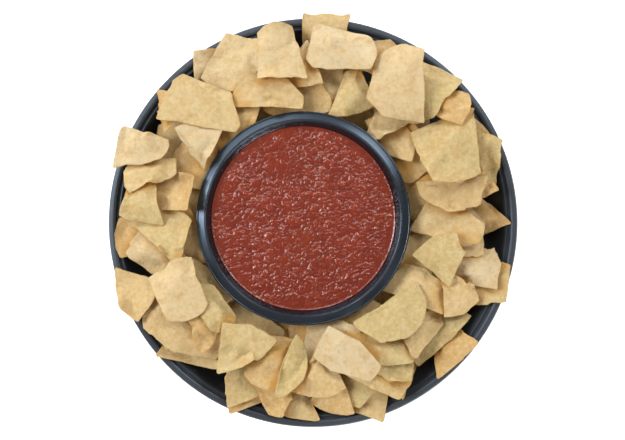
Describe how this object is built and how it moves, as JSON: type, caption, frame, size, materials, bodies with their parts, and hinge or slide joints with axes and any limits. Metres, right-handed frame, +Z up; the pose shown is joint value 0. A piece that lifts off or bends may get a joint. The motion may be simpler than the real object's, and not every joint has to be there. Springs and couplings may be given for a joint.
{
  "type": "chip and dip server",
  "caption": "Round black serving tray with a separate dip bowl of salsa standing in it and a ring of curled tortilla chips heaped round the bowl.",
  "frame": {"origin": "centre of the tray's flat underside, on the surface it stands on", "axes": "+Z up out of the tray and bowl; +Y away from the person serving; +X to the right"},
  "size_m": [0.406, 0.4112, 0.0773],
  "materials": {
    "tray_plastic": "satin black moulded plastic",
    "bowl_plastic": "semi-gloss black moulded plastic",
    "salsa": "wet chunky tomato salsa",
    "tortilla_chip": "dry fried corn, pale golden and blistered"
  },
  "bodies": {
    "server": {"serving_tray": "tray_plastic", "lower_slab_chips": "tortilla_chip", "lower_wedge_chips": "tortilla_chip", "lower_moon_chips": "tortilla_chip", "chip_01": "tortilla_chip", "chip_02": "tortilla_chip", "chip_03": "tortilla_chip", "chip_04": "tortilla_chip", "chip_05": "tortilla_chip", "chip_06": "tortilla_chip", "chip_07": "tortilla_chip", "chip_08": "tortilla_chip", "chip_09": "tortilla_chip", "chip_10": "tortilla_chip", "chip_11": "tortilla_chip", "chip_12": "tortilla_chip", "chip_13": "tortilla_chip", "chip_14": "tortilla_chip", "chip_15": "tortilla_chip", "chip_16": "tortilla_chip", "chip_17": "tortilla_chip", "chip_18": "tortilla_chip", "chip_20": "tortilla_chip", "chip_21": "tortilla_chip", "chip_22": "tortilla_chip", "chip_23": "tortilla_chip", "chip_25": "tortilla_chip", "chip_26": "tortilla_chip", "chip_28": "tortilla_chip", "chip_30": "tortilla_chip", "chip_31": "tortilla_chip", "chip_32": "tortilla_chip", "chip_33": "tortilla_chip", "chip_35": "tortilla_chip", "chip_36": "tortilla_chip", "chip_37": "tortilla_chip", "chip_39": "tortilla_chip", "chip_41": "tortilla_chip", "chip_42": "tortilla_chip", "chip_43": "tortilla_chip", "chip_44": "tortilla_chip", "chip_45": "tortilla_chip", "chip_46": "tortilla_chip", "chip_47": "tortilla_chip", "chip_48": "tortilla_chip"},
    "bowl": {"dip_bowl": "bowl_plastic", "salsa": "salsa"},
    "chip_19": {"chip_19": "tortilla_chip"},
    "chip_24": {"chip_24": "tortilla_chip"},
    "chip_27": {"chip_27": "tortilla_chip"},
    "chip_29": {"chip_29": "tortilla_chip"},
    "chip_34": {"chip_34": "tortilla_chip"},
    "chip_38": {"chip_38": "tortilla_chip"},
    "chip_40": {"chip_40": "tortilla_chip"},
    "chip_49": {"chip_49": "tortilla_chip"}
  },
  "joints": [
    {"name": "bowl_lift", "type": "slide", "parent": "server", "child": "bowl", "axis": [0, 0, 1], "range_m": [0, 0.12]},
    {"name": "chip_19_lift", "type": "slide", "parent": "server", "child": "chip_19", "axis": [0, 0, 1], "range_m": [0, 0.09]},
    {"name": "chip_24_lift", "type": "slide", "parent": "server", "child": "chip_24", "axis": [0, 0, 1], "range_m": [0, 0.09]},
    {"name": "chip_27_lift", "type": "slide", "parent": "server", "child": "chip_27", "axis": [0, 0, 1], "range_m": [0, 0.09]},
    {"name": "chip_29_lift", "type": "slide", "parent": "server", "child": "chip_29", "axis": [0, 0, 1], "range_m": [0, 0.09]},
    {"name": "chip_34_lift", "type": "slide", "parent": "server", "child": "chip_34", "axis": [0, 0, 1], "range_m": [0, 0.09]},
    {"name": "chip_38_lift", "type": "slide", "parent": "server", "child": "chip_38", "axis": [0, 0, 1], "range_m": [0, 0.09]},
    {"name": "chip_40_lift", "type": "slide", "parent": "server", "child": "chip_40", "axis": [0, 0, 1], "range_m": [0, 0.09]},
    {"name": "chip_49_lift", "type": "slide", "parent": "server", "child": "chip_49", "axis": [0, 0, 1], "range_m": [0, 0.09]}
  ]
}
